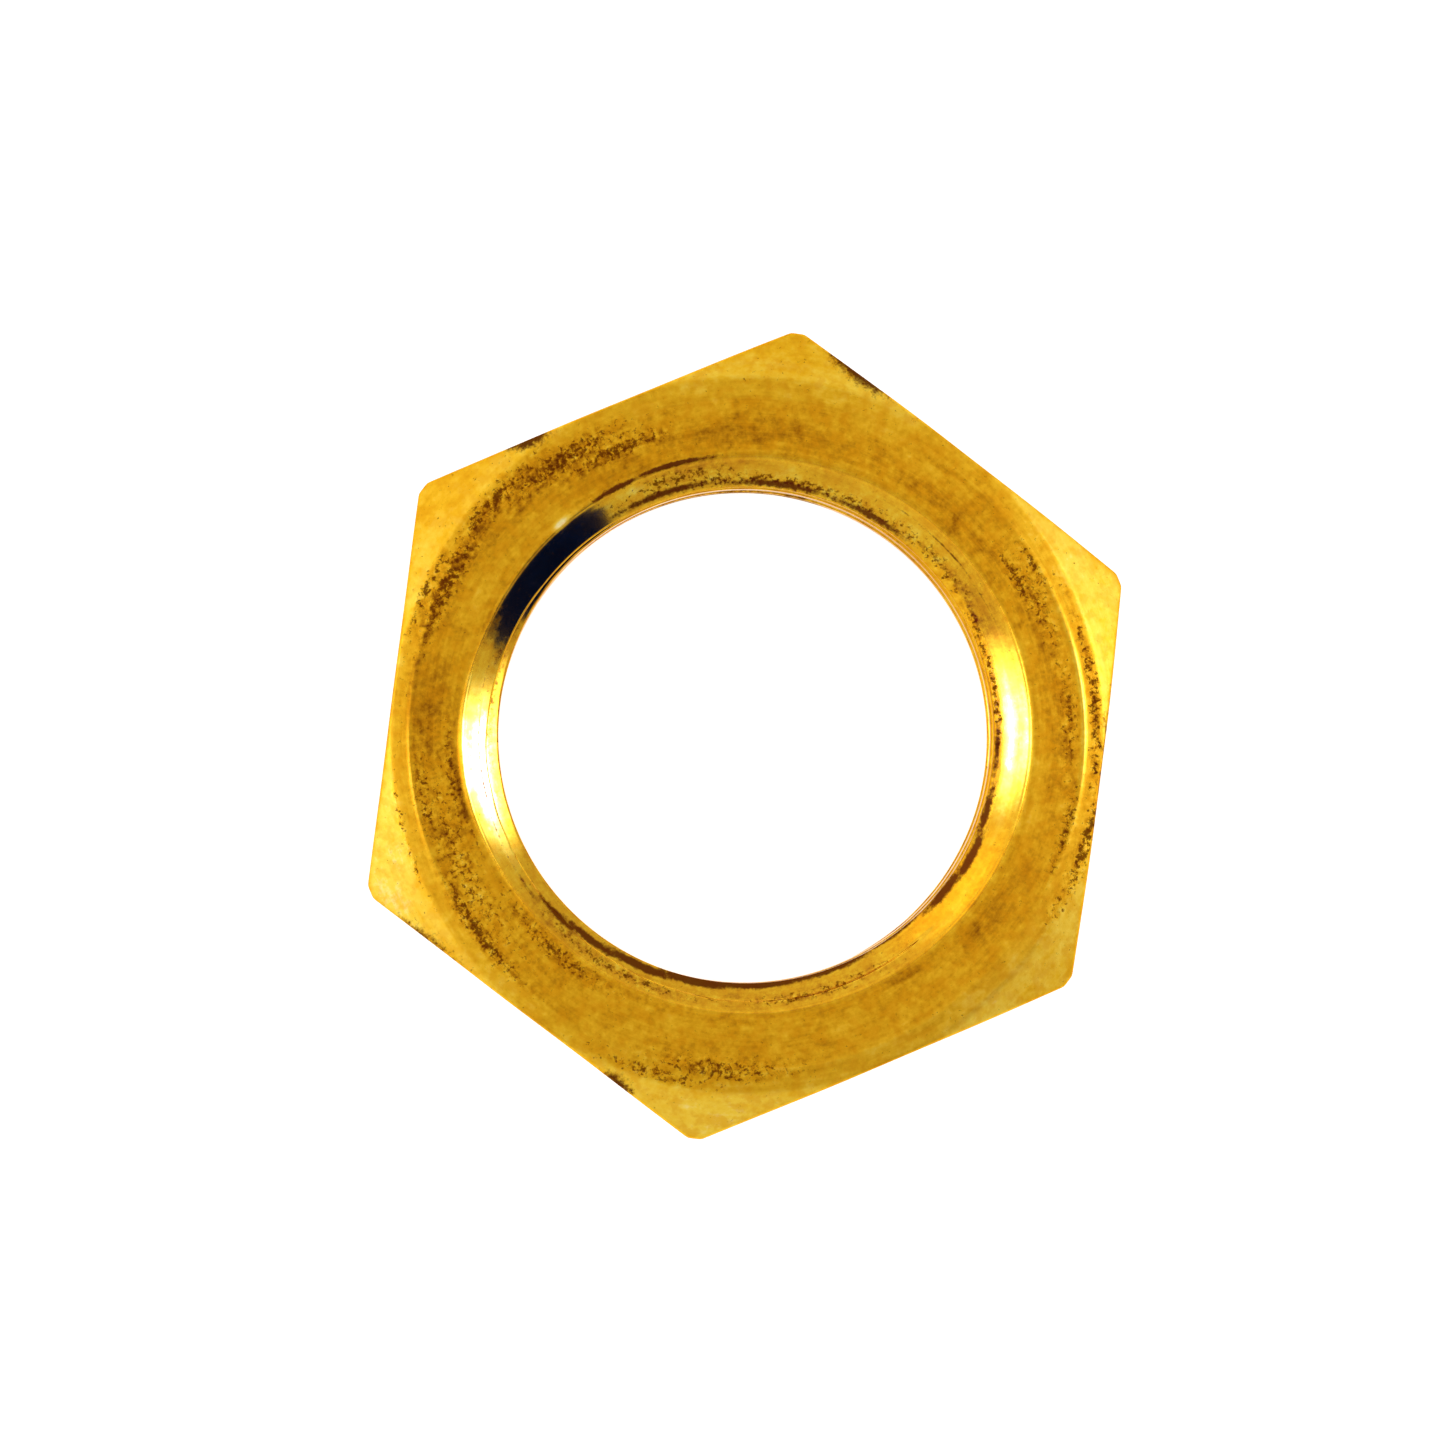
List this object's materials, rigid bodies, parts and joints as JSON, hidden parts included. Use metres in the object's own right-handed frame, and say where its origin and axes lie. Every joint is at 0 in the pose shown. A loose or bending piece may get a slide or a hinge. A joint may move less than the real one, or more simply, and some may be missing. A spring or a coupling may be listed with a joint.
{
  "type": "hex nut",
  "caption": "Thin brass hexagon nut with a fine right-hand internal thread, countersunk mouths and chamfered corners.",
  "frame": {"origin": "on the thread axis, in the plane of the lower bearing face", "axes": "+Z along the thread axis, from the lower bearing face to the upper one; +X through a corner of the hexagon; +Y square to a flat"},
  "size_m": [0.0146, 0.0128, 0.0024],
  "materials": {
    "brass": "satin, aged, with tarnish specks"
  },
  "bodies": {
    "root": {"nut_body": "brass"}
  },
  "joints": []
}
